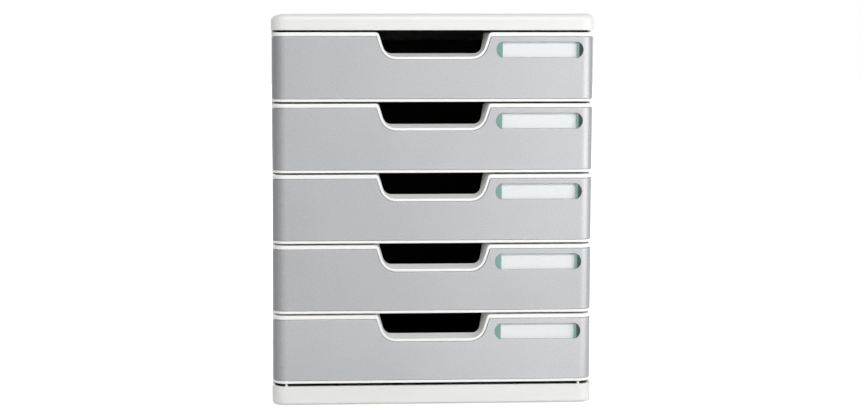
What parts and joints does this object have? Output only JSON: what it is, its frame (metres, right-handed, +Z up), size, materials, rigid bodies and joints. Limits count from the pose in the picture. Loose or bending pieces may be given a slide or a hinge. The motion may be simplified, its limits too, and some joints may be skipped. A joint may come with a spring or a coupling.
{
  "type": "desktop drawer unit",
  "caption": "White desktop drawer unit for paper, with grey satin fronts that wrap round the corners, a wide finger cut-out and a label window on each drawer.",
  "frame": {"origin": "on the floor below the middle of the casing", "axes": "+Z up, -Y towards the drawer fronts, +X to the viewer's right"},
  "size_m": [0.288, 0.339, 0.3502],
  "materials": {
    "white_plastic": "satin",
    "grey_satin": "satin",
    "dark_plastic": "matte",
    "clear_lens": "clear",
    "label_card": "matte",
    "foot_rubber": "matte",
    "screw_steel": "satin"
  },
  "bodies": {
    "casing": {"base": "white_plastic", "top_cover": "white_plastic", "left_side_panel": "white_plastic", "right_side_panel": "white_plastic", "back_panel": "white_plastic", "rubber_feet": "foot_rubber", "base_screws": "screw_steel"},
    "drawer_1": {"tray_1": "dark_plastic", "front_frame_1": "white_plastic", "fascia_1": "grey_satin", "label_lens_1": "clear_lens", "label_card_1": "label_card"},
    "drawer_2": {"tray_2": "dark_plastic", "front_frame_2": "white_plastic", "fascia_2": "grey_satin", "label_lens_2": "clear_lens", "label_card_2": "label_card"},
    "drawer_3": {"tray_3": "dark_plastic", "front_frame_3": "white_plastic", "fascia_3": "grey_satin", "label_lens_3": "clear_lens", "label_card_3": "label_card"},
    "drawer_4": {"tray_4": "dark_plastic", "front_frame_4": "white_plastic", "fascia_4": "grey_satin", "label_lens_4": "clear_lens", "label_card_4": "label_card"},
    "drawer_5": {"tray_5": "dark_plastic", "front_frame_5": "white_plastic", "fascia_5": "grey_satin", "label_lens_5": "clear_lens", "label_card_5": "label_card"}
  },
  "joints": [
    {"name": "drawer_slide_1", "type": "slide", "parent": "casing", "child": "drawer_1", "axis": [0, -1, 0], "range_m": [0, 0.265]},
    {"name": "drawer_slide_2", "type": "slide", "parent": "casing", "child": "drawer_2", "axis": [0, -1, 0], "range_m": [0, 0.265]},
    {"name": "drawer_slide_3", "type": "slide", "parent": "casing", "child": "drawer_3", "axis": [0, -1, 0], "range_m": [0, 0.265]},
    {"name": "drawer_slide_4", "type": "slide", "parent": "casing", "child": "drawer_4", "axis": [0, -1, 0], "range_m": [0, 0.265]},
    {"name": "drawer_slide_5", "type": "slide", "parent": "casing", "child": "drawer_5", "axis": [0, -1, 0], "range_m": [0, 0.265]}
  ]
}
